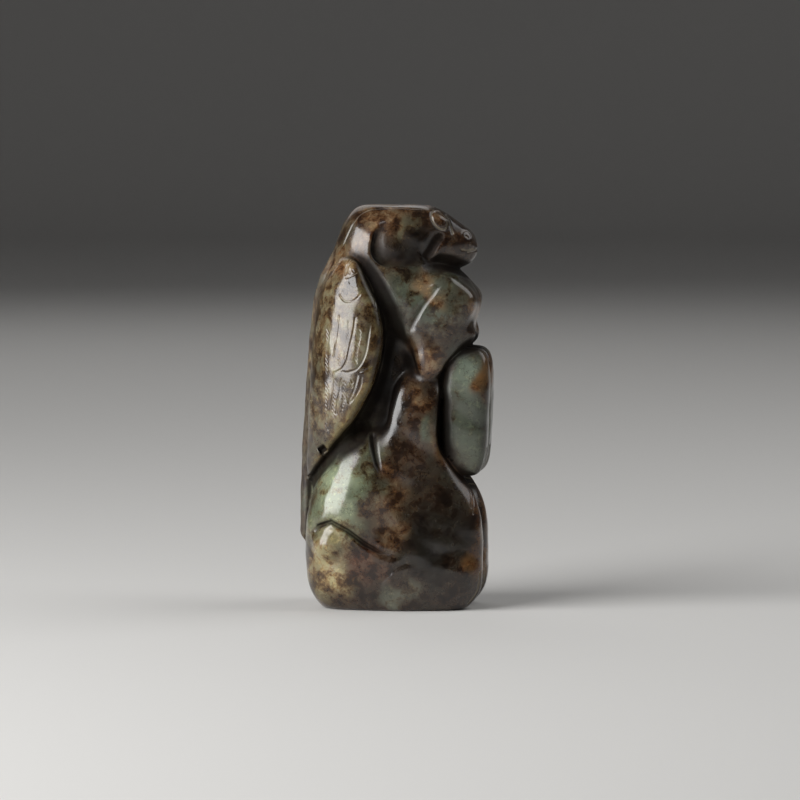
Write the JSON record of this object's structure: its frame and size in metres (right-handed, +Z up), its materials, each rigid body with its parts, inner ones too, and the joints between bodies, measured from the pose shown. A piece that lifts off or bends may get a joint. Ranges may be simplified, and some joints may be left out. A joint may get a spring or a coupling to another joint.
{
  "type": "jade carving of a seated winged beast",
  "caption": "Upright jade carving of a crouching winged beast with folded wings, lop ears and paws hanging at the chest, standing on its flat base.",
  "frame": {"origin": "middle of the overall box, on the flat underside that the carving stands on", "axes": "+Z up along the body, +X the way the beast faces, +Y to the beast's left"},
  "size_m": [0.0326, 0.0244, 0.068],
  "materials": {
    "jade": "gloss"
  },
  "bodies": {
    "root": {"beast_carving": "jade"}
  },
  "joints": []
}
